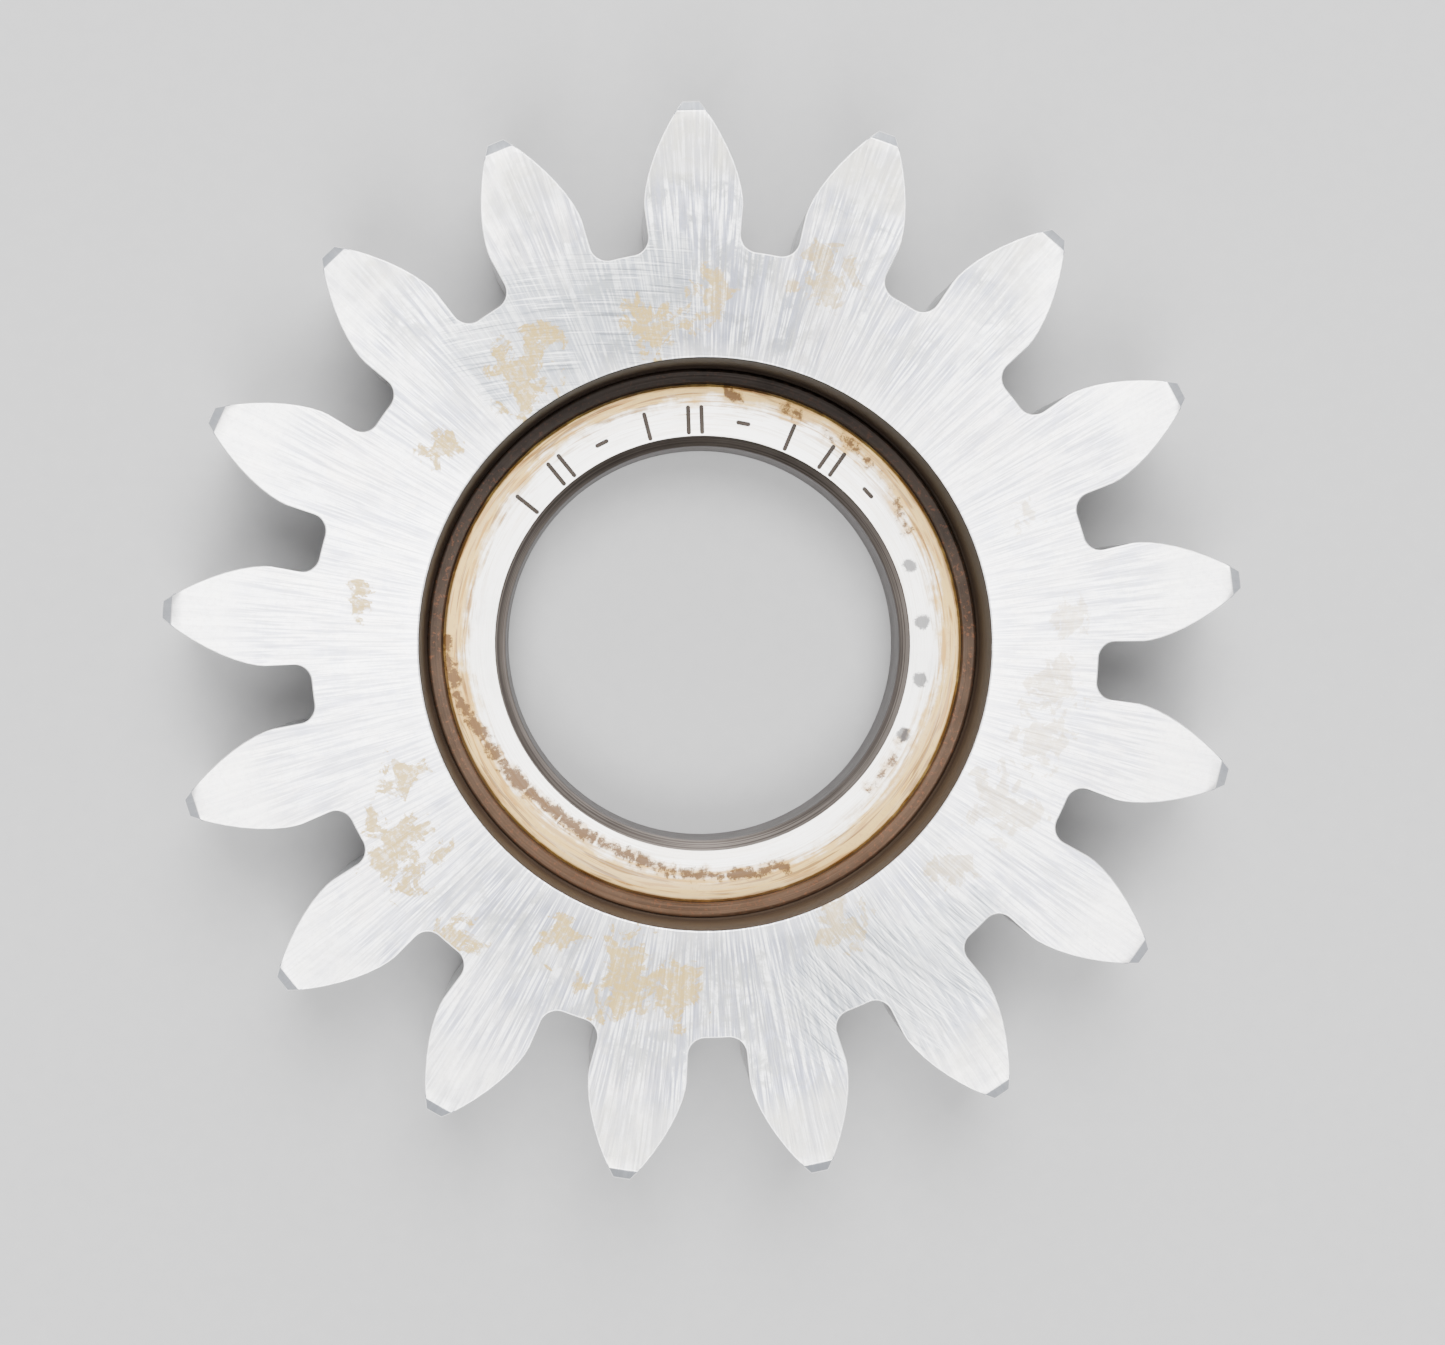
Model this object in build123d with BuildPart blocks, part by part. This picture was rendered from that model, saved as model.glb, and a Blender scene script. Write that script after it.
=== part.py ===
"""Idler spur gear with a plain bearing: a toothed ring, a bush pressed into it and a hard inner ring.

Units are millimetres. The origin is at the centre of the bore, on the gear's axis and half way along
the inner ring. +Z runs along the axis towards the recessed front. One tooth points along +Y.
"""

import os
from math import acos, cos, degrees, radians, sin, sqrt, tan

from build123d import *

# Teeth
module = 6.0
tooth_count = 17
pressure_angle = 20.0
addendum = 8.15
dedendum = 8.0
tooth_thickness = 10.04     # arc length on the pitch circle
root_fillet = 1.9
flank_points = 7            # points that each involute curve passes through
foot_overlap = 1.0          # how far each tooth's outline runs into the root circle

# Toothed ring
gear_thickness = 24.0
back_step = 0.2             # the back face stands this far in front of the inner ring's back seat
tip_bevel = 1.1             # turned bevel on the outer corners of the blank, measured along the radius
tip_bevel_depth = 0.6       # the same bevel, measured along the axis
recess_radius = 31.2
recess_depth = 12.0
recess_edge_break = 0.15

# Bearing bush
bush_outer_radius = 31.0
bush_wall = 1.74
bush_round = 0.4            # rounded outer front edge
bush_back_chamfer = 0.4     # lead-in for pressing the bush into the toothed ring
bush_bore_chamfer = 0.2

# Inner ring
bore_radius = 22.225        # 1 3/4 inch bore
running_clearance = 0.06    # radial, between the inner ring and the bush
front_step = 0.1            # the inner ring's front seat stands this far in front of the bush
bore_chamfer = 1.2
ring_edge_break = 0.3

# Index marks on the front face of the inner ring: a bar, a pair of bars and a dash, again and again
mark_radius = 25.2
mark_height = 3.3
mark_width = 0.5
mark_depth = 0.18
mark_count = 9
first_mark_angle = 140.0
mark_step = 12.4
mark_cycle = ("bar", "pair", "dash")
pair_gap = 1.5

# Sizes that follow from the ones above
pitch_radius = module * tooth_count / 2
base_radius = pitch_radius * cos(radians(pressure_angle))
tip_radius = pitch_radius + addendum
root_radius = pitch_radius - dedendum
ring_length = back_step + gear_thickness - recess_depth + front_step
ring_front = ring_length / 2
ring_back = -ring_length / 2
gear_back = ring_back + back_step
gear_front = gear_back + gear_thickness
recess_floor = gear_front - recess_depth
bush_inner_radius = bush_outer_radius - bush_wall
ring_outer_radius = bush_inner_radius - running_clearance


def involute(angle):
    """Involute function of an angle in degrees, as an angle in degrees."""
    return degrees(tan(radians(angle))) - angle


def half_tooth_angle(radius):
    """Angle from a tooth's centre line to its flank, at a radius on the involute."""
    at_pitch = degrees(tooth_thickness / (2 * pitch_radius))
    roll_angle = degrees(acos(min(1.0, base_radius / radius)))
    return at_pitch + involute(pressure_angle) - involute(roll_angle)


def flank_point(radius, side):
    """Point on the flank of the tooth that points along +Y. Side is +1 for +X and -1 for -X."""
    angle = 90 - side * half_tooth_angle(radius)
    return radius * cos(radians(angle)), radius * sin(radians(angle))


def flank_radii():
    """Radii from base circle to tip, closer together near the base, where an involute turns fastest."""
    roll_end = sqrt(tip_radius**2 - base_radius**2)
    rolls = [roll_end * step / (flank_points - 1) for step in range(flank_points)]
    return [sqrt(base_radius**2 + roll**2) for roll in rolls]


def radial_foot(side):
    """Point inside the root circle where a flank ends, drawn straight inwards from the base circle."""
    base_x, base_y = flank_point(base_radius, side)
    scale = (root_radius - foot_overlap) / base_radius
    return base_x * scale, base_y * scale


# Toothed ring: the outline of one tooth, repeated round the root circle
with BuildSketch() as one_tooth:
    with BuildLine():
        right_flank = Spline(*[flank_point(radius, +1) for radius in flank_radii()])
        left_flank = Spline(*[flank_point(radius, -1) for radius in flank_radii()])
        RadiusArc(left_flank @ 1, right_flank @ 1, tip_radius)
        Line(right_flank @ 0, radial_foot(+1))
        Line(left_flank @ 0, radial_foot(-1))
        Line(radial_foot(+1), radial_foot(-1))
    make_face()

with BuildSketch(Plane.XY.offset(gear_back)) as tooth_outline:
    Circle(root_radius)
    with PolarLocations(0, tooth_count):
        add(one_tooth.sketch)
    corners_by_distance = tooth_outline.vertices().group_by(SortBy.DISTANCE)
    root_corners = corners_by_distance[0]
    fillet(root_corners, radius=root_fillet)

# The turned blank that the teeth are cut in: bevelled corners, a seat for the bush, a wider recess in front
with BuildSketch(Plane.XZ) as blank_section:
    with BuildLine():
        Polyline(
            (bush_outer_radius + bush_back_chamfer, gear_back),
            (tip_radius - tip_bevel, gear_back),
            (tip_radius, gear_back + tip_bevel_depth),
            (tip_radius, gear_front - tip_bevel_depth),
            (tip_radius - tip_bevel, gear_front),
            (recess_radius + recess_edge_break, gear_front),
            (recess_radius, gear_front - recess_edge_break),
            (recess_radius, recess_floor),
            (bush_outer_radius, recess_floor),
            (bush_outer_radius, gear_back + bush_back_chamfer),
            close=True,
        )
    make_face()

with BuildPart() as toothed_ring:
    extrude(tooth_outline.sketch, amount=gear_thickness)
    revolve(blank_section.sketch, axis=Axis.Z, mode=Mode.INTERSECT)
toothed_ring.part.label = "toothed_ring"

# Bearing bush: pressed into the toothed ring, its front face level with the floor of the recess
with BuildPart() as bearing_bush:
    with BuildSketch(Plane.XZ):
        with BuildLine():
            round_start = (bush_outer_radius, recess_floor - bush_round)
            round_end = (bush_outer_radius - bush_round, recess_floor)
            RadiusArc(round_start, round_end, -bush_round)
            Polyline(
                round_end,
                (bush_inner_radius + bush_bore_chamfer, recess_floor),
                (bush_inner_radius, recess_floor - bush_bore_chamfer),
                (bush_inner_radius, gear_back + bush_bore_chamfer),
                (bush_inner_radius + bush_bore_chamfer, gear_back),
                (bush_outer_radius - bush_back_chamfer, gear_back),
                (bush_outer_radius, gear_back + bush_back_chamfer),
                round_start,
            )
        make_face()
    revolve(axis=Axis.Z)
bearing_bush.part.label = "bearing_bush"

# Inner ring: hardened and ground, with a chamfered bore and index marks cut in its front face
with BuildSketch(Plane.XY.offset(ring_front)) as index_marks:
    for place in range(mark_count):
        mark = mark_cycle[place % len(mark_cycle)]
        angle = first_mark_angle - place * mark_step
        mark_centre = (mark_radius * cos(radians(angle)), mark_radius * sin(radians(angle)))
        with Locations(Location((*mark_centre, 0), (0, 0, angle))):
            if mark == "bar":
                SlotOverall(mark_height, mark_width)
            elif mark == "pair":
                with GridLocations(0, pair_gap, 1, 2):
                    SlotOverall(mark_height, mark_width)
            else:
                SlotOverall(mark_height / 2, mark_width, rotation=90)

with BuildPart() as inner_ring:
    with BuildSketch(Plane.XZ):
        with BuildLine():
            Polyline(
                (bore_radius + bore_chamfer, ring_back),
                (ring_outer_radius - ring_edge_break, ring_back),
                (ring_outer_radius, ring_back + ring_edge_break),
                (ring_outer_radius, ring_front - ring_edge_break),
                (ring_outer_radius - ring_edge_break, ring_front),
                (bore_radius + bore_chamfer, ring_front),
                (bore_radius, ring_front - bore_chamfer),
                (bore_radius, ring_back + bore_chamfer),
                close=True,
            )
        make_face()
    revolve(axis=Axis.Z)
    extrude(index_marks.sketch, amount=-mark_depth, mode=Mode.SUBTRACT)
inner_ring.part.label = "inner_ring"

os.makedirs("parts", exist_ok=True)
for piece in (toothed_ring, bearing_bush, inner_ring):
    export_step(piece.part, f"parts/{piece.part.label}.step")
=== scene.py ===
"""Looks of the idler spur gear: ground steel teeth round a browned bush and a bright, stained inner ring.

Everything is in metres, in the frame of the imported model: the origin is on the gear's axis and +Z points
out of the recessed front. Materials work in millimetres and in polar coordinates round that axis.
"""

from math import cos, radians, sin

import bmesh
import bpy
from mathutils import Matrix, Vector


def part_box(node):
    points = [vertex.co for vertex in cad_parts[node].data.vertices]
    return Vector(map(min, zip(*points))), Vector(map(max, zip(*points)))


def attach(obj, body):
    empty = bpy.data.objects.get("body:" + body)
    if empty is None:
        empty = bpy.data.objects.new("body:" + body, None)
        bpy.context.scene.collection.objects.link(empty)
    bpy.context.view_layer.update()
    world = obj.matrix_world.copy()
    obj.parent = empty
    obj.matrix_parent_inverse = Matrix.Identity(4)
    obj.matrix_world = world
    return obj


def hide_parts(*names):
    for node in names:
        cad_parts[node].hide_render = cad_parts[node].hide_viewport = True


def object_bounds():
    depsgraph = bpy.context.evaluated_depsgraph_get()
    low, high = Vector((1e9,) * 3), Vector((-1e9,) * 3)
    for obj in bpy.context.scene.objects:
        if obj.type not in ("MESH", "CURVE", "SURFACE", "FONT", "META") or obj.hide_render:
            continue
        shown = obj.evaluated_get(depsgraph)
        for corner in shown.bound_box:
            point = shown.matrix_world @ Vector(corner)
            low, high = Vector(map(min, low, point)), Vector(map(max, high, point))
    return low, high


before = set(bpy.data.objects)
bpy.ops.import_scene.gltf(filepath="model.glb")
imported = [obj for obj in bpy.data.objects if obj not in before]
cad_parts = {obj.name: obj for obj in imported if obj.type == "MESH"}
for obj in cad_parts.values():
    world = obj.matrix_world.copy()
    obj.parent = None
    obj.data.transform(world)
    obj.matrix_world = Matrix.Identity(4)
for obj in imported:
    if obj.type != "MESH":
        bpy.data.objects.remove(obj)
cad_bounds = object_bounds()

MM = 0.001
RING_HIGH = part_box("inner_ring")[1]
GEAR_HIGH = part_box("toothed_ring")[1]
BUSH_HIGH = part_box("bearing_bush")[1]

# Heights and radii in millimetres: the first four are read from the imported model
RING_FRONT = RING_HIGH.z / MM
RING_RADIUS = RING_HIGH.x / MM
BUSH_RADIUS = BUSH_HIGH.x / MM
TIP_RADIUS = GEAR_HIGH.y / MM
RECESS_RADIUS = 31.2
BORE_RADIUS = 22.225
BORE_CHAMFER = 1.2
CHAMFER_RADIUS = BORE_RADIUS + BORE_CHAMFER
ROOT_RADIUS = 43.0


def srgb(red, green, blue):
    """A colour given as the eye sees it, 0 to 255, in the renderer's linear values."""

    def linear(value):
        value /= 255
        return value / 12.92 if value <= 0.04045 else ((value + 0.055) / 1.055) ** 2.4

    return linear(red), linear(green), linear(blue), 1.0


# Toothed ring
BRIGHT_FACE = srgb(253, 251, 251)
# the next two are painted shade of the face and teeth towards both ends of the Y axis
PAINTED_SHADE_FACE = srgb(138, 141, 139)
BRIGHT_TOOTH = srgb(254, 252, 249)
PAINTED_SHADE_TOOTH = srgb(172, 169, 159)
BRIGHT_RIM = srgb(252, 251, 251)
COOL_CLOUD = srgb(200, 203, 222)
WARM_CLOUD = srgb(236, 224, 214)
COARSE_LINE = srgb(150, 154, 176)
FINE_LINE = srgb(136, 139, 156)
HAIR_LINE = srgb(122, 124, 136)
PALE_LINE = srgb(255, 255, 255)
GREY_MOTTLE = srgb(176, 172, 168)
DARK_SPECK = srgb(150, 146, 142)
# white of bare steel in the scratches, and also a painted highlight on the rounded edges
WHITE_STEEL_AND_EDGE_HIGHLIGHT = srgb(254, 254, 254)
SCRATCHED_AREA = srgb(160, 167, 170)
DARK_SCRATCH = srgb(84, 91, 98)
TAN_STAIN = srgb(178, 146, 48)
TIP_BEVEL = srgb(150, 156, 167)
LIGHT_FLANK = srgb(204, 204, 206)
DARK_FLANK = srgb(172, 173, 177)
WARM_FLANK = srgb(170, 158, 142)
ROOT_SHADE = srgb(104, 98, 92)
OXIDE = srgb(52, 42, 34)
PALE_OXIDE = srgb(66, 53, 43)
PAINTED_WALL_SHADE = srgb(16, 11, 8)

# Bearing bush
DARK_BUSH = srgb(40, 32, 26)
BROWN_BUSH = srgb(58, 46, 37)
PAINTED_LIGHT_BUSH = srgb(112, 85, 64)
BUSH_LINE = srgb(56, 45, 37)
BUSH_SPECK = srgb(122, 76, 50)
PAINTED_SHADE_BUSH = srgb(24, 18, 14)
BUSH_RIM = srgb(44, 34, 27)

# Inner ring
BRIGHT_RING = srgb(250, 248, 244)
TAN_RING = srgb(196, 160, 82)
BROWN_STROKE = srgb(158, 112, 48)
BROWN_HAIRLINE = srgb(112, 76, 38)
GREY_LINE = srgb(170, 158, 142)
TAN_LINE = srgb(204, 184, 154)
TAN_SPECK = srgb(176, 136, 92)
BROWN_RIM = srgb(112, 82, 50)
RUST_HALO = srgb(190, 150, 84)
RUST = srgb(88, 56, 20)
SMUDGE = srgb(64, 64, 67)
MARK_FLOOR = srgb(44, 38, 34)
DARK_STREAK = srgb(104, 97, 92)
PALE_STREAK = srgb(156, 147, 140)
PAINTED_SHADE_CHAMFER = srgb(40, 35, 30)
PAINTED_BORE_SHADE = srgb(98, 95, 94)

# Floor
FLOOR = srgb(160, 160, 161)
PALE_FLOOR = srgb(168, 168, 168)


class Nodes:
    """A short way to write a node tree: a method adds nodes and gives back the output socket."""

    def __init__(self, name):
        self.material = bpy.data.materials.new(name)
        self.material.use_nodes = True
        self.tree = self.material.node_tree
        self.tree.nodes.clear()
        self.find_coordinates()

    def add(self, kind, **settings):
        """Adds one node and gives back the node itself."""
        node = self.tree.nodes.new(kind)
        for key, value in settings.items():
            setattr(node, key, value)
        return node

    def feed(self, socket, value):
        """Links a socket to an input, or sets the input to a constant."""
        if isinstance(value, bpy.types.NodeSocket):
            self.tree.links.new(value, socket)
        else:
            socket.default_value = value

    def math(self, operation, first, second=0.0, clamp=False):
        node = self.add("ShaderNodeMath", operation=operation, use_clamp=clamp)
        self.feed(node.inputs[0], first)
        self.feed(node.inputs[1], second)
        return node.outputs[0]

    def plus(self, first, second):
        return self.math("ADD", first, second)

    def minus(self, first, second, clamp=False):
        return self.math("SUBTRACT", first, second, clamp)

    def over(self, first, second):
        return self.math("DIVIDE", first, second)

    def times(self, *values):
        product = values[0]
        for value in values[1:]:
            product = self.math("MULTIPLY", product, value)
        return product

    def most(self, first, second):
        return self.math("MAXIMUM", first, second)

    def size_of(self, value):
        return self.math("ABSOLUTE", value)

    def length(self, x, y):
        """Length of the vector x, y."""
        squares = self.plus(self.math("POWER", x, 2.0), self.math("POWER", y, 2.0))
        return self.math("SQRT", squares)

    def vector(self, x, y, z):
        node = self.add("ShaderNodeCombineXYZ")
        for socket, value in zip(node.inputs, (x, y, z)):
            self.feed(socket, value)
        return node.outputs[0]

    def remap(self, value, old, new):
        """Value moved from the range old to the range new, and kept inside it."""
        node = self.add("ShaderNodeMapRange")
        self.feed(node.inputs["Value"], value)
        node.inputs["From Min"].default_value = old[0]
        node.inputs["From Max"].default_value = old[1]
        node.inputs["To Min"].default_value = new[0]
        node.inputs["To Max"].default_value = new[1]
        return node.outputs["Result"]

    def above(self, value, edge, soft):
        """0 below the edge and 1 above it, with a smooth change over a width of soft."""
        node = self.add("ShaderNodeMapRange", interpolation_type="SMOOTHSTEP")
        self.feed(node.inputs["Value"], value)
        node.inputs["From Min"].default_value = edge - soft / 2
        node.inputs["From Max"].default_value = edge + soft / 2
        return node.outputs["Result"]

    def below(self, value, edge, soft):
        """1 below the edge and 0 above it, with a smooth change over a width of soft."""
        return self.minus(1.0, self.above(value, edge, soft))

    def between(self, value, low, high, soft):
        """1 between low and high and 0 elsewhere, with soft edges."""
        return self.minus(self.above(value, low, soft), self.above(value, high, soft), clamp=True)

    def mix(self, amount, first, second):
        """The first colour or number where amount is 0, and the second where it is 1."""
        node = self.add("ShaderNodeMix", data_type="RGBA")
        self.feed(node.inputs[0], amount)
        self.feed(node.inputs[6], first)
        self.feed(node.inputs[7], second)
        return node.outputs[2]

    def tint(self, color, tone, *masks):
        """The colour with a second tone over it, as strong as the masks multiplied together."""
        return self.mix(self.times(*masks), color, tone)

    def noise(self, place, scale=1.0, detail=3.0, roughness=0.55, distortion=0.0):
        node = self.add("ShaderNodeTexNoise")
        self.feed(node.inputs["Vector"], place)
        node.inputs["Scale"].default_value = scale
        node.inputs["Detail"].default_value = detail
        node.inputs["Roughness"].default_value = roughness
        node.inputs["Distortion"].default_value = distortion
        return node.outputs["Fac"]

    def swing(self, noise, width):
        """Noise moved to run on both sides of zero, and widened."""
        return self.times(self.minus(noise, 0.5), width)

    def find_coordinates(self):
        """Position in millimetres, radius and direction from the axis, and how far a face lies flat."""
        scaled = self.add("ShaderNodeVectorMath", operation="SCALE")
        self.feed(scaled.inputs[0], self.add("ShaderNodeTexCoord").outputs["Object"])
        scaled.inputs["Scale"].default_value = 1 / MM
        self.place = scaled.outputs[0]
        split = self.add("ShaderNodeSeparateXYZ")
        self.feed(split.inputs[0], self.place)
        self.x, self.y, self.z = split.outputs
        self.radius = self.length(self.x, self.y)
        self.toward_x = self.over(self.x, self.radius)
        self.toward_y = self.over(self.y, self.radius)
        normal = self.add("ShaderNodeSeparateXYZ")
        self.feed(normal.inputs[0], self.add("ShaderNodeNewGeometry").outputs["True Normal"])
        self.flatness = self.size_of(normal.outputs["Z"])

    def radial_lines(self, fineness, length):
        """Noise drawn out along the radius: fineness is lines per radian, length is in millimetres."""
        place = self.vector(
            self.times(self.toward_x, fineness),
            self.times(self.toward_y, fineness),
            self.over(self.radius, length),
        )
        return self.noise(place, detail=2.0)

    def turned_lines(self, width, length, detail=2.0):
        """Noise drawn out round the axis: width is in millimetres, length is in radians."""
        place = self.vector(
            self.over(self.toward_x, length),
            self.over(self.toward_y, length),
            self.over(self.plus(self.radius, self.z), width),
        )
        return self.noise(place, detail=detail)

    def arc_lines(self, centre, fineness, width):
        """Noise drawn out along circles round a centre off the axis."""
        offset_x = self.minus(self.x, centre[0])
        offset_y = self.minus(self.y, centre[1])
        distance = self.length(offset_x, offset_y)
        place = self.vector(
            self.times(self.over(offset_x, distance), fineness),
            self.times(self.over(offset_y, distance), fineness),
            self.over(distance, width),
        )
        return self.noise(place, detail=2.0)

    def spots(self, places, ragged, edge, soft):
        """1 inside any of the spots and 0 outside, with edges broken up by noise."""
        closest = 0.0
        for angle, distance, reach in places:
            offset_x = self.minus(self.x, distance * cos(radians(angle)))
            offset_y = self.minus(self.y, distance * sin(radians(angle)))
            closeness = self.minus(1.0, self.over(self.length(offset_x, offset_y), reach), clamp=True)
            closest = self.most(closest, closeness)
        near = self.above(closest, edge=0.04, soft=0.08)
        return self.times(self.above(self.plus(closest, ragged), edge, soft), near)

    def degrees_from(self, angle):
        """Angle round the axis, in degrees, counted from the given one."""
        x_part = cos(radians(angle))
        y_part = sin(radians(angle))
        along = self.plus(self.times(self.toward_x, x_part), self.times(self.toward_y, y_part))
        across = self.minus(self.times(self.toward_y, x_part), self.times(self.toward_x, y_part))
        return self.math("DEGREES", self.math("ARCTAN2", across, along))

    def trail(self, points, width):
        """1 on a trail through points of angle and radius, falling to 0 a width away from it."""
        closest = 0.0
        for (angle, distance), (next_angle, next_distance) in zip(points, points[1:]):
            turned = self.degrees_from((angle + next_angle) / 2)
            half = abs(next_angle - angle) / 2
            slope = (next_distance - distance) / (next_angle - angle)
            line = self.plus(self.times(turned, slope), (distance + next_distance) / 2)
            off_line = self.over(self.size_of(self.minus(self.radius, line)), width)
            on_stretch = self.below(self.size_of(turned), half, soft=1.5)
            closeness = self.times(self.minus(1.0, off_line, clamp=True), on_stretch)
            closest = self.most(closest, closeness)
        return closest

    def bump(self, height, distance_mm):
        node = self.add("ShaderNodeBump")
        node.inputs["Strength"].default_value = 1.0
        node.inputs["Distance"].default_value = distance_mm * MM
        self.feed(node.inputs["Height"], height)
        return node.outputs["Normal"]

    def surface(self, color, roughness, normal, metallic, specular=0.5, brushed=0.0):
        """Finishes the material. Brushed is how far radial lines spread the highlights round the axis."""
        shader = self.add("ShaderNodeBsdfPrincipled")
        self.feed(shader.inputs["Base Color"], color)
        self.feed(shader.inputs["Roughness"], roughness)
        self.feed(shader.inputs["Normal"], normal)
        self.feed(shader.inputs["Metallic"], metallic)
        shader.inputs["Specular IOR Level"].default_value = specular
        shader.inputs["Anisotropic"].default_value = brushed
        round_axis = self.add("ShaderNodeTangent", direction_type="RADIAL", axis="Z")
        self.feed(shader.inputs["Tangent"], round_axis.outputs["Tangent"])
        output = self.add("ShaderNodeOutputMaterial")
        self.feed(output.inputs["Surface"], shader.outputs[0])
        return self.material


# Tan stains on the gear's front face: angle in degrees, radius and reach in millimetres
STAINS = (
    (142, 36, 3.0), (124, 35.6, 5.8), (117, 38, 3.4), (98, 35, 5.0), (88, 37.8, 4.0),
    (70, 42, 5.0), (21, 37.5, 3.0), (2, 40, 3.5), (-9, 38, 5.0), (-18, 38, 5.0),
    (-30, 37, 6.0), (-44, 37, 4.0), (-66, 34.2, 4.5), (-96, 38, 5.0), (-104, 37.5, 7.0),
    (-118, 36, 4.0), (-132, 42, 4.0), (-148, 40, 6.5), (-158, 36, 4.0), (172, 38, 3.0),
)

# Scratched areas: spots as above, the point that the scratches run round, and their lines per radian
SCRATCHES = (
    (((119, 39, 11.0), (101, 39, 10.0)), (-12.0, -38.0), 9.0),
    (((-66, 42, 12.0), (-50, 44, 8.0)), (62.0, 8.0), 8.0),
)


def face_with_painted_shade(n, clouds, small_clouds):
    """Colour of the flat faces under their lines, with painted shade that darkens them towards both ends
    of the Y axis and a little more on the side of +Y, and how far the lines show.
    """
    drift = n.swing(clouds, 1.5)
    # painted shade: the faces darken towards both ends of the Y axis, and a little more on the side of +Y
    toward_ends = n.above(n.plus(n.size_of(n.toward_y), drift), edge=0.8, soft=0.5)
    painted_shade = n.times(toward_ends, n.remap(n.toward_y, (-1.0, 1.0), (0.8, 1.0)))
    on_teeth = n.above(n.plus(n.radius, n.times(small_clouds, 2.0)), edge=51.5, soft=4.0)
    color = n.mix(
        on_teeth,
        n.mix(painted_shade, BRIGHT_FACE, PAINTED_SHADE_FACE),
        n.mix(painted_shade, BRIGHT_TOOTH, PAINTED_SHADE_TOOTH),
    )
    fade_on_teeth = n.remap(on_teeth, (0.0, 1.0), (1.0, 0.3))
    stronger_at_ends = n.remap(toward_ends, (0.0, 1.0), (0.85, 1.25))
    return color, n.times(fade_on_teeth, stronger_at_ends)


def ground_face(n, small_clouds):
    """Colour of the gear's flat faces, the height of their lines, and where the stains are."""
    hair_lines = n.radial_lines(fineness=430.0, length=4.5)
    fine_lines = n.radial_lines(fineness=150.0, length=7.0)
    coarse_lines = n.radial_lines(fineness=46.0, length=12.0)
    clouds = n.noise(n.place, scale=0.07, detail=5.0, roughness=0.62, distortion=0.6)
    mottling = n.noise(n.place, scale=1.9, detail=5.0, roughness=0.75)
    speckle = n.noise(n.place, scale=7.0, detail=3.0, roughness=0.7)
    on_front = n.above(n.z, edge=RING_FRONT + 1.0, soft=0.5)

    color, lined = face_with_painted_shade(n, clouds, small_clouds)
    color = n.tint(color, COOL_CLOUD, n.above(small_clouds, edge=0.52, soft=0.14), lined, 0.6)
    color = n.tint(color, WARM_CLOUD, n.below(clouds, edge=0.42, soft=0.2), lined, 0.4)
    color = n.tint(color, COARSE_LINE, n.above(coarse_lines, edge=0.53, soft=0.16), lined, 0.42)
    color = n.tint(color, FINE_LINE, n.above(fine_lines, edge=0.54, soft=0.14), lined, 0.5)
    color = n.tint(color, HAIR_LINE, n.above(hair_lines, edge=0.56, soft=0.12), lined, 0.45)
    pale_lines = n.times(
        n.below(fine_lines, edge=0.45, soft=0.12),
        n.above(small_clouds, edge=0.46, soft=0.2),
    )
    color = n.tint(color, PALE_LINE, pale_lines, lined, 0.8)
    color = n.tint(color, GREY_MOTTLE, n.above(mottling, edge=0.56, soft=0.16), 0.26)
    color = n.tint(color, DARK_SPECK, n.above(speckle, edge=0.6, soft=0.1), 0.16)
    color = n.tint(color, BRIGHT_RIM, n.below(n.radius, edge=RECESS_RADIUS + 1.2, soft=2.6), 0.35)

    scratches = 0.0
    for places, centre, fineness in SCRATCHES:
        lines = n.arc_lines(centre, fineness, width=0.2)
        area = n.times(n.spots(places, n.swing(small_clouds, 1.2), edge=0.3, soft=0.4), on_front)
        color = n.tint(color, SCRATCHED_AREA, area, 0.5)
        color = n.tint(color, DARK_SCRATCH, n.above(lines, edge=0.6, soft=0.1), area, 0.7)
        color = n.tint(color, WHITE_STEEL_AND_EDGE_HIGHLIGHT, n.below(lines, edge=0.38, soft=0.08), area, 0.7)
        scratches = n.plus(scratches, n.times(lines, area))

    ragged = n.swing(n.noise(n.place, scale=0.34, detail=8.0, roughness=0.7, distortion=0.5), 4.2)
    gaps = n.remap(n.above(mottling, edge=0.54, soft=0.1), (0.0, 1.0), (1.0, 0.5))
    weaker_to_the_right = n.remap(n.toward_x, (-0.1, 0.8), (1.0, 0.5))
    stains = n.times(n.spots(STAINS, ragged, edge=0.5, soft=0.1), gaps, weaker_to_the_right, on_front)
    color = n.tint(color, TAN_STAIN, stains, 0.85)

    relief = n.plus(n.times(hair_lines, 0.6), n.times(fine_lines, 0.5))
    relief = n.plus(relief, n.times(scratches, 0.5))
    return color, relief, stains


def machined_flank(n, small_clouds):
    """Colour of the tooth flanks, darker towards the roots, and the height of their lines."""
    place = n.vector(n.times(n.x, 9.0), n.times(n.y, 9.0), n.times(n.z, 0.12))
    lines = n.noise(place, detail=3.0)
    color = n.mix(n.above(lines, edge=0.5, soft=0.3), LIGHT_FLANK, DARK_FLANK)
    color = n.tint(color, WARM_FLANK, n.above(small_clouds, edge=0.56, soft=0.14), 0.5)
    color = n.tint(color, ROOT_SHADE, n.below(n.radius, edge=ROOT_RADIUS + 2.2, soft=3.0), 0.6)
    return color, n.times(lines, 0.5)


def recess_oxide(n):
    """Colour of the recess wall: brown oxide, with painted shade that makes it nearly black on the side of
    +Y.
    """
    lines = n.turned_lines(width=0.18, length=1.4)
    color = n.mix(n.above(lines, edge=0.5, soft=0.3), OXIDE, PALE_OXIDE)
    # painted shade: the brown wall turns nearly black on the side of +Y
    return n.tint(color, PAINTED_WALL_SHADE, n.remap(n.toward_y, (-0.5, 0.7), (0.0, 0.85)))


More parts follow.
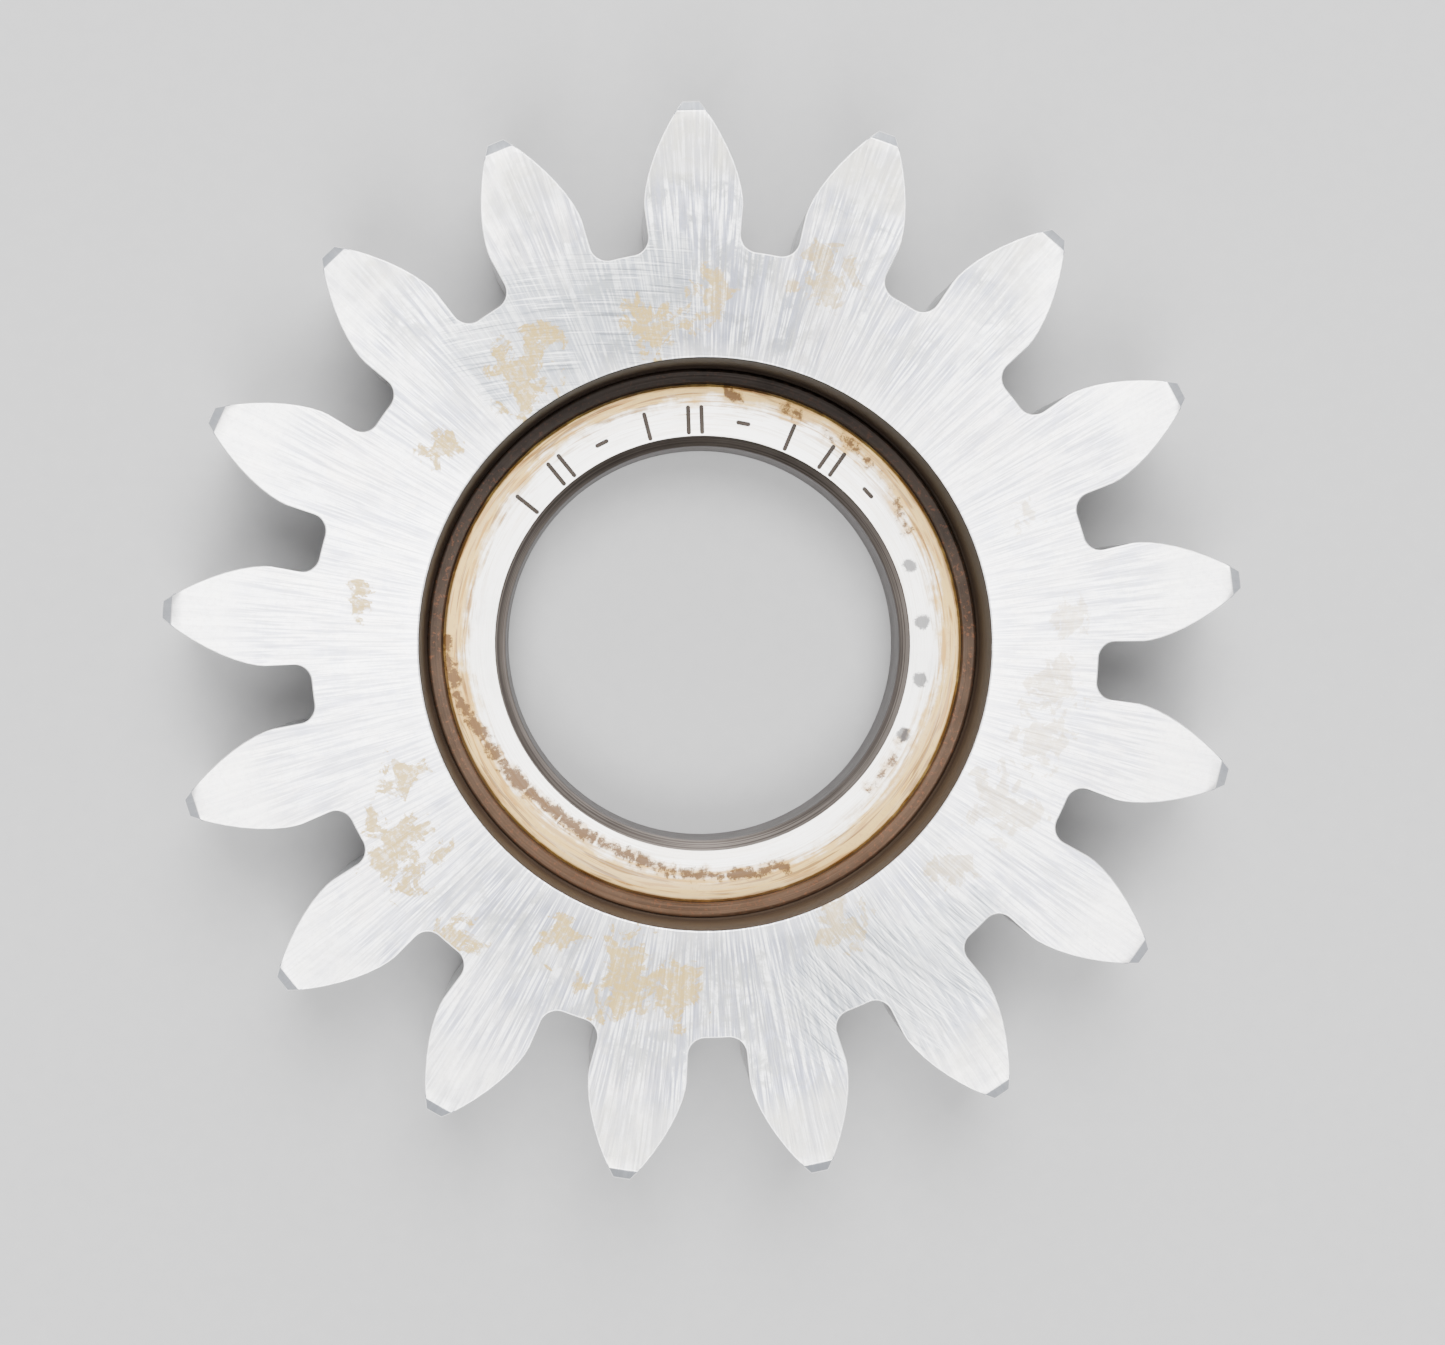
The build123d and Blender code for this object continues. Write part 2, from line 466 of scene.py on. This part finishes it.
def ground_steel():
    """Toothed ring: ground faces with stains and painted shade towards both ends of the Y axis, machined
    flanks, painted highlights on the rounded edges, and dull brown oxide in the recess with painted shade
    on its side of +Y.
    """
    n = Nodes("ground_steel")
    small_clouds = n.noise(n.place, scale=0.3, detail=6.0, roughness=0.68, distortion=0.5)
    face, face_relief, stains = ground_face(n, small_clouds)
    flank, flank_relief = machined_flank(n, small_clouds)

    on_face = n.above(n.flatness, edge=0.72, soft=0.1)
    near_tip = n.above(n.radius, edge=TIP_RADIUS - 1.5, soft=0.2)
    on_bevel = n.times(n.between(n.flatness, 0.78, 0.97, soft=0.02), near_tip)
    painted_edge_highlight = n.times(n.between(n.flatness, 0.1, 0.985, soft=0.04), n.minus(1.0, on_bevel))
    past_recess = n.above(n.radius, edge=RECESS_RADIUS + 1.0, soft=0.2)
    in_recess = n.below(n.radius, edge=RECESS_RADIUS + 0.06, soft=0.04)

    face = n.tint(face, TIP_BEVEL, on_bevel, 0.7)
    color = n.mix(on_face, flank, face)
    # painted highlight: the rounded edges outside the recess are painted nearly white
    color = n.tint(color, WHITE_STEEL_AND_EDGE_HIGHLIGHT, painted_edge_highlight, past_recess, 0.9)
    color = n.mix(in_recess, color, recess_oxide(n))

    roughness = n.remap(n.plus(face_relief, small_clouds), (0.8, 1.5), (0.32, 0.48))
    roughness = n.plus(roughness, n.times(stains, 0.18))
    roughness = n.most(roughness, n.times(in_recess, 0.8))
    normal = n.bump(n.mix(on_face, flank_relief, face_relief), distance_mm=0.016)
    covered = n.most(in_recess, n.times(stains, 0.7))
    metallic = n.remap(covered, (0.0, 1.0), (0.85, 0.0))
    return n.surface(color, roughness, normal, metallic, specular=0.3, brushed=0.8)


def browned_bush():
    """Bearing bush: dark brown, turned, with a metallic sheen and rusty specks, lighter by painted light
    on the side of -Y and darker by painted shade on the side of +Y.
    """
    n = Nodes("browned_bush")
    lines = n.turned_lines(width=0.2, length=0.9)
    patches = n.noise(n.place, scale=0.2, detail=5.0, roughness=0.65)
    specks = n.noise(n.place, scale=2.2, detail=4.0, roughness=0.75)
    color = n.mix(n.above(patches, edge=0.5, soft=0.3), DARK_BUSH, BROWN_BUSH)
    # painted light: the bush is lighter on the side of -Y
    color = n.tint(color, PAINTED_LIGHT_BUSH, n.remap(n.toward_y, (-1.0, 0.4), (1.0, 0.0)), 0.6)
    color = n.tint(color, BUSH_LINE, n.above(lines, edge=0.5, soft=0.26), 0.35)
    color = n.tint(color, BUSH_SPECK, n.above(specks, edge=0.6, soft=0.1), 0.5)
    # painted shade: the bush turns nearly black on the side of +Y
    color = n.tint(color, PAINTED_SHADE_BUSH, n.remap(n.toward_y, (0.0, 0.9), (0.0, 0.85)))
    color = n.tint(color, BUSH_RIM, n.above(n.radius, edge=BUSH_RADIUS - 0.12, soft=0.1), 0.4)
    roughness = n.remap(patches, (0.3, 0.7), (0.28, 0.5))
    normal = n.bump(n.plus(lines, n.times(specks, 0.5)), distance_mm=0.02)
    return n.surface(color, roughness, normal, metallic=0.5, specular=0.3)


# Soft grey smudges on the inner ring: angle in degrees, radius and reach in millimetres
SMUDGES = ((19, 24.9, 1.3), (4, 24.9, 1.4), (-11, 24.9, 1.4), (-26, 24.9, 1.4))

# Brown trails on the inner ring: points of angle in degrees and radius in millimetres, and a strength
RUST_TRAILS = (
    (((176, 29.0), (189, 28.2), (199, 27.2), (208, 26.3), (218, 25.7), (229, 25.3), (240, 25.2)), 1.0),
    (((240, 25.2), (251, 25.4), (262, 25.8), (274, 26.2), (290, 26.8)), 0.9),
    (((84, 28.9), (79, 27.6)), 1.0),
    (((72, 28.4), (60, 27.8), (48, 28.1), (36, 27.2), (26, 26.2)), 0.62),
    (((-24, 25.1), (-44, 24.9)), 0.6),
)


def tanned_ring(n, lines, patches):
    """Colour of the ring's flat faces, bright by the bore and tan outside, and the tan part."""
    strokes = n.turned_lines(width=0.34, length=0.22, detail=3.0)
    broad_lines = n.turned_lines(width=0.8, length=0.7)
    hairlines = n.turned_lines(width=0.5, length=0.35)
    specks = n.noise(n.place, scale=2.0, detail=5.0, roughness=0.75)

    wander = n.plus(n.swing(patches, 4.0), n.swing(strokes, 3.2))
    wander = n.plus(wander, n.times(n.toward_y, -0.5))
    outer_band = n.above(n.plus(n.radius, wander), edge=26.6, soft=1.7)
    worn = n.remap(n.radius, (24.5, 28.0), (0.0, 0.75))
    rim = n.above(n.radius, edge=RING_RADIUS - 0.42, soft=0.2)

    color = n.mix(n.times(outer_band, 0.95), BRIGHT_RING, TAN_RING)
    color = n.tint(color, BROWN_STROKE, n.above(strokes, edge=0.56, soft=0.08), worn)
    color = n.tint(color, BROWN_HAIRLINE, n.above(hairlines, edge=0.6, soft=0.05), outer_band, 0.75)
    color = n.tint(color, GREY_LINE, n.above(lines, edge=0.58, soft=0.14), 0.28)
    color = n.tint(color, TAN_LINE, n.above(broad_lines, edge=0.56, soft=0.1), 0.2)
    speck_strength = n.remap(outer_band, (0.0, 1.0), (0.08, 0.5))
    color = n.tint(color, TAN_SPECK, n.above(specks, edge=0.6, soft=0.1), speck_strength)
    color = n.tint(color, BROWN_RIM, rim, n.above(patches, edge=0.44, soft=0.2), 0.7)
    return color, outer_band


def rust_and_smudges(n, color):
    """The ring's colour with brown trails and grey smudges on its front, and where the rust is."""
    on_front = n.above(n.z, edge=0.0, soft=1.0)
    grain = n.swing(n.noise(n.place, scale=1.5, detail=6.0, roughness=0.8), 2.4)
    lumps = n.swing(n.noise(n.place, scale=0.55, detail=3.0, roughness=0.6), 1.5)
    trails = 0.0
    for points, strength in RUST_TRAILS:
        trails = n.most(trails, n.times(n.trail(points, width=1.5), strength))
    near_trail = n.times(n.above(trails, edge=0.1, soft=0.2), on_front)
    broken_trail = n.plus(n.plus(trails, grain), lumps)
    rust = n.times(n.above(broken_trail, edge=0.62, soft=0.35), near_trail)
    halo = n.above(n.plus(trails, lumps), edge=0.42, soft=0.5)
    color = n.tint(color, RUST_HALO, halo, near_trail, 0.65)
    color = n.tint(color, RUST, rust, 0.9)
    smudges = n.spots(SMUDGES, n.times(grain, 0.45), edge=0.42, soft=0.26)
    return n.tint(color, SMUDGE, smudges, on_front, 0.85), rust


def streaky_bore(n, on_wall):
    """Colour of the bore and its chamfers: grey streaks, with painted shade on the side of +Y, and the
    bore wall painted dark as shade.
    """
    streaks = n.turned_lines(width=0.26, length=1.6)
    color = n.mix(n.above(streaks, edge=0.5, soft=0.25), DARK_STREAK, PALE_STREAK)
    # painted shade: the chamfers darken on the side of +Y
    color = n.tint(color, PAINTED_SHADE_CHAMFER, n.remap(n.toward_y, (0.1, 0.9), (0.0, 0.8)))
    # painted shade: the bore wall is painted dark
    return n.tint(color, PAINTED_BORE_SHADE, on_wall, 0.95)


def index_mark_floors(n):
    """1 on the floors and walls of the marks that are cut in the ring's front face."""
    below_face = n.below(n.z, edge=RING_FRONT - 0.06, soft=0.04)
    above_middle = n.above(n.z, edge=RING_FRONT - 1.0, soft=0.1)
    on_ring_face = n.between(n.radius, CHAMFER_RADIUS + 0.05, RING_RADIUS - 0.35, soft=0.02)
    return n.times(below_face, on_ring_face, above_middle)


def stained_ring_steel():
    """Inner ring: bright by the bore, tan outside, with brown trails, dark marks and a streaky bore with
    painted shade on its wall and on the side of +Y.
    """
    n = Nodes("stained_ring_steel")
    lines = n.turned_lines(width=0.15, length=0.5)
    patches = n.noise(n.place, scale=0.28, detail=5.0, roughness=0.65)
    in_bore = n.below(n.radius, edge=CHAMFER_RADIUS - 0.02, soft=0.03)
    on_wall = n.below(n.radius, edge=BORE_RADIUS + 0.08, soft=0.05)

    color, outer_band = tanned_ring(n, lines, patches)
    color, rust = rust_and_smudges(n, color)
    color = n.mix(index_mark_floors(n), color, MARK_FLOOR)
    color = n.mix(in_bore, color, streaky_bore(n, on_wall))

    roughness = n.remap(n.plus(lines, patches), (0.7, 1.3), (0.28, 0.45))
    roughness = n.plus(roughness, n.times(n.most(rust, on_wall), 0.25))
    normal = n.bump(n.plus(lines, n.times(rust, 0.8)), distance_mm=0.015)
    metallic = n.remap(n.most(rust, n.times(outer_band, 0.4)), (0.0, 1.0), (0.85, 0.2))
    return n.surface(color, roughness, normal, metallic)


def dress(piece, material):
    """Gives a piece its material in place of any other."""
    piece.data.materials.clear()
    piece.data.materials.append(material)


def with_broken_edges(node, body, width_mm):
    """A piece that stands for a node, with the same shape except for tiny rounded edges."""
    sharp_angle = radians(22)
    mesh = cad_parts[node].data.copy()
    piece = bpy.data.objects.new(node + "_finished", mesh)
    bpy.context.scene.collection.objects.link(piece)
    shape = bmesh.new()
    shape.from_mesh(mesh)
    bmesh.ops.remove_doubles(shape, verts=shape.verts, dist=0.0005 * MM)
    shape.to_mesh(mesh)
    shape.free()
    mesh.normals_split_custom_set([(0.0, 0.0, 0.0)] * len(mesh.loops))
    for face in mesh.polygons:
        face.use_smooth = True
    mesh.set_sharp_from_angle(angle=sharp_angle)
    bevel = piece.modifiers.new("broken_edges", "BEVEL")
    bevel.width = width_mm * MM
    bevel.segments = 2
    bevel.limit_method = "ANGLE"
    bevel.angle_limit = sharp_angle
    bevel.harden_normals = True
    evaluated = piece.evaluated_get(bpy.context.evaluated_depsgraph_get())
    piece.data = bpy.data.meshes.new_from_object(evaluated)
    piece.modifiers.clear()
    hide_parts(node)
    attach(piece, body)
    return piece


dress(with_broken_edges("toothed_ring", "gear", width_mm=0.15), ground_steel())
dress(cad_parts["bearing_bush"], browned_bush())
dress(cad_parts["inner_ring"], stained_ring_steel())


# Floor: plain and pale, a hair under the inner ring
def make_floor():
    """A wide plane under the gear, which isn't part of it."""
    gap = 0.02 * MM
    bpy.ops.mesh.primitive_plane_add(size=4.0, location=(0, 0, cad_bounds[0][2] - gap))
    floor = bpy.context.object
    floor.name = "floor"
    n = Nodes("pale_floor")
    grain = n.noise(n.place, scale=0.5, detail=3.0)
    color = n.mix(grain, FLOOR, PALE_FLOOR)
    dress(floor, n.surface(color, 0.8, n.bump(grain, distance_mm=0.02), 0.0))


make_floor()

# Light: a white room, two soft boxes above and a low one, all near the plane of the Y and Z axes.
# Each box has a name, a diameter in metres, a place and a power in watts.
SOFT_BOXES = (
    ("far_box", 0.7, (0.06, 0.5, 1.05), 26.0),
    ("near_box", 0.7, (-0.06, -0.5, 1.05), 21.0),
    ("low_box", 0.5, (0.1, 1.0, 0.5), 5.0),
)


def make_light(name, size, place, power):
    """A round soft box that points at the middle of the gear."""
    light = bpy.data.lights.new(name, "AREA")
    light.shape = "DISK"
    light.size = size
    light.energy = power
    thing = bpy.data.objects.new(name, light)
    thing.location = place
    thing.rotation_euler = (-Vector(place)).to_track_quat("-Z", "Y").to_euler()
    bpy.context.scene.collection.objects.link(thing)


def make_room():
    """White surroundings of even brightness."""
    world = bpy.data.worlds.new("studio")
    world.use_nodes = True
    background = world.node_tree.nodes["Background"]
    background.inputs["Color"].default_value = (1.0, 1.0, 1.0, 1.0)
    background.inputs["Strength"].default_value = 1.0
    bpy.context.scene.world = world


for soft_box in SOFT_BOXES:
    make_light(*soft_box)
make_room()

# Camera: nearly straight above the front, a little to the left, looking just below the axis
CAMERA_HEIGHT = 0.345    # above the gear's front face
CAMERA_PLACE = Vector((-0.0103, 0.0034, GEAR_HIGH.z + CAMERA_HEIGHT))
CAMERA_TARGET = Vector((0.0017, -0.0031, GEAR_HIGH.z))
CAMERA_LENS = 78.95
CAMERA_ROLL = radians(1.6)


def make_camera():
    """A camera at its place, turned to its target and rolled a little."""
    camera = bpy.data.cameras.new("camera")
    camera.lens = CAMERA_LENS
    camera.sensor_width = 36.0
    thing = bpy.data.objects.new("camera", camera)
    back = (CAMERA_PLACE - CAMERA_TARGET).normalized()
    up_hint = Vector((sin(CAMERA_ROLL), cos(CAMERA_ROLL), 0.0))
    right = up_hint.cross(back).normalized()
    up = back.cross(right)
    thing.matrix_world = Matrix((
        (right.x, up.x, back.x, CAMERA_PLACE.x),
        (right.y, up.y, back.y, CAMERA_PLACE.y),
        (right.z, up.z, back.z, CAMERA_PLACE.z),
        (0, 0, 0, 1),
    ))
    bpy.context.scene.collection.objects.link(thing)
    bpy.context.scene.camera = thing


make_camera()
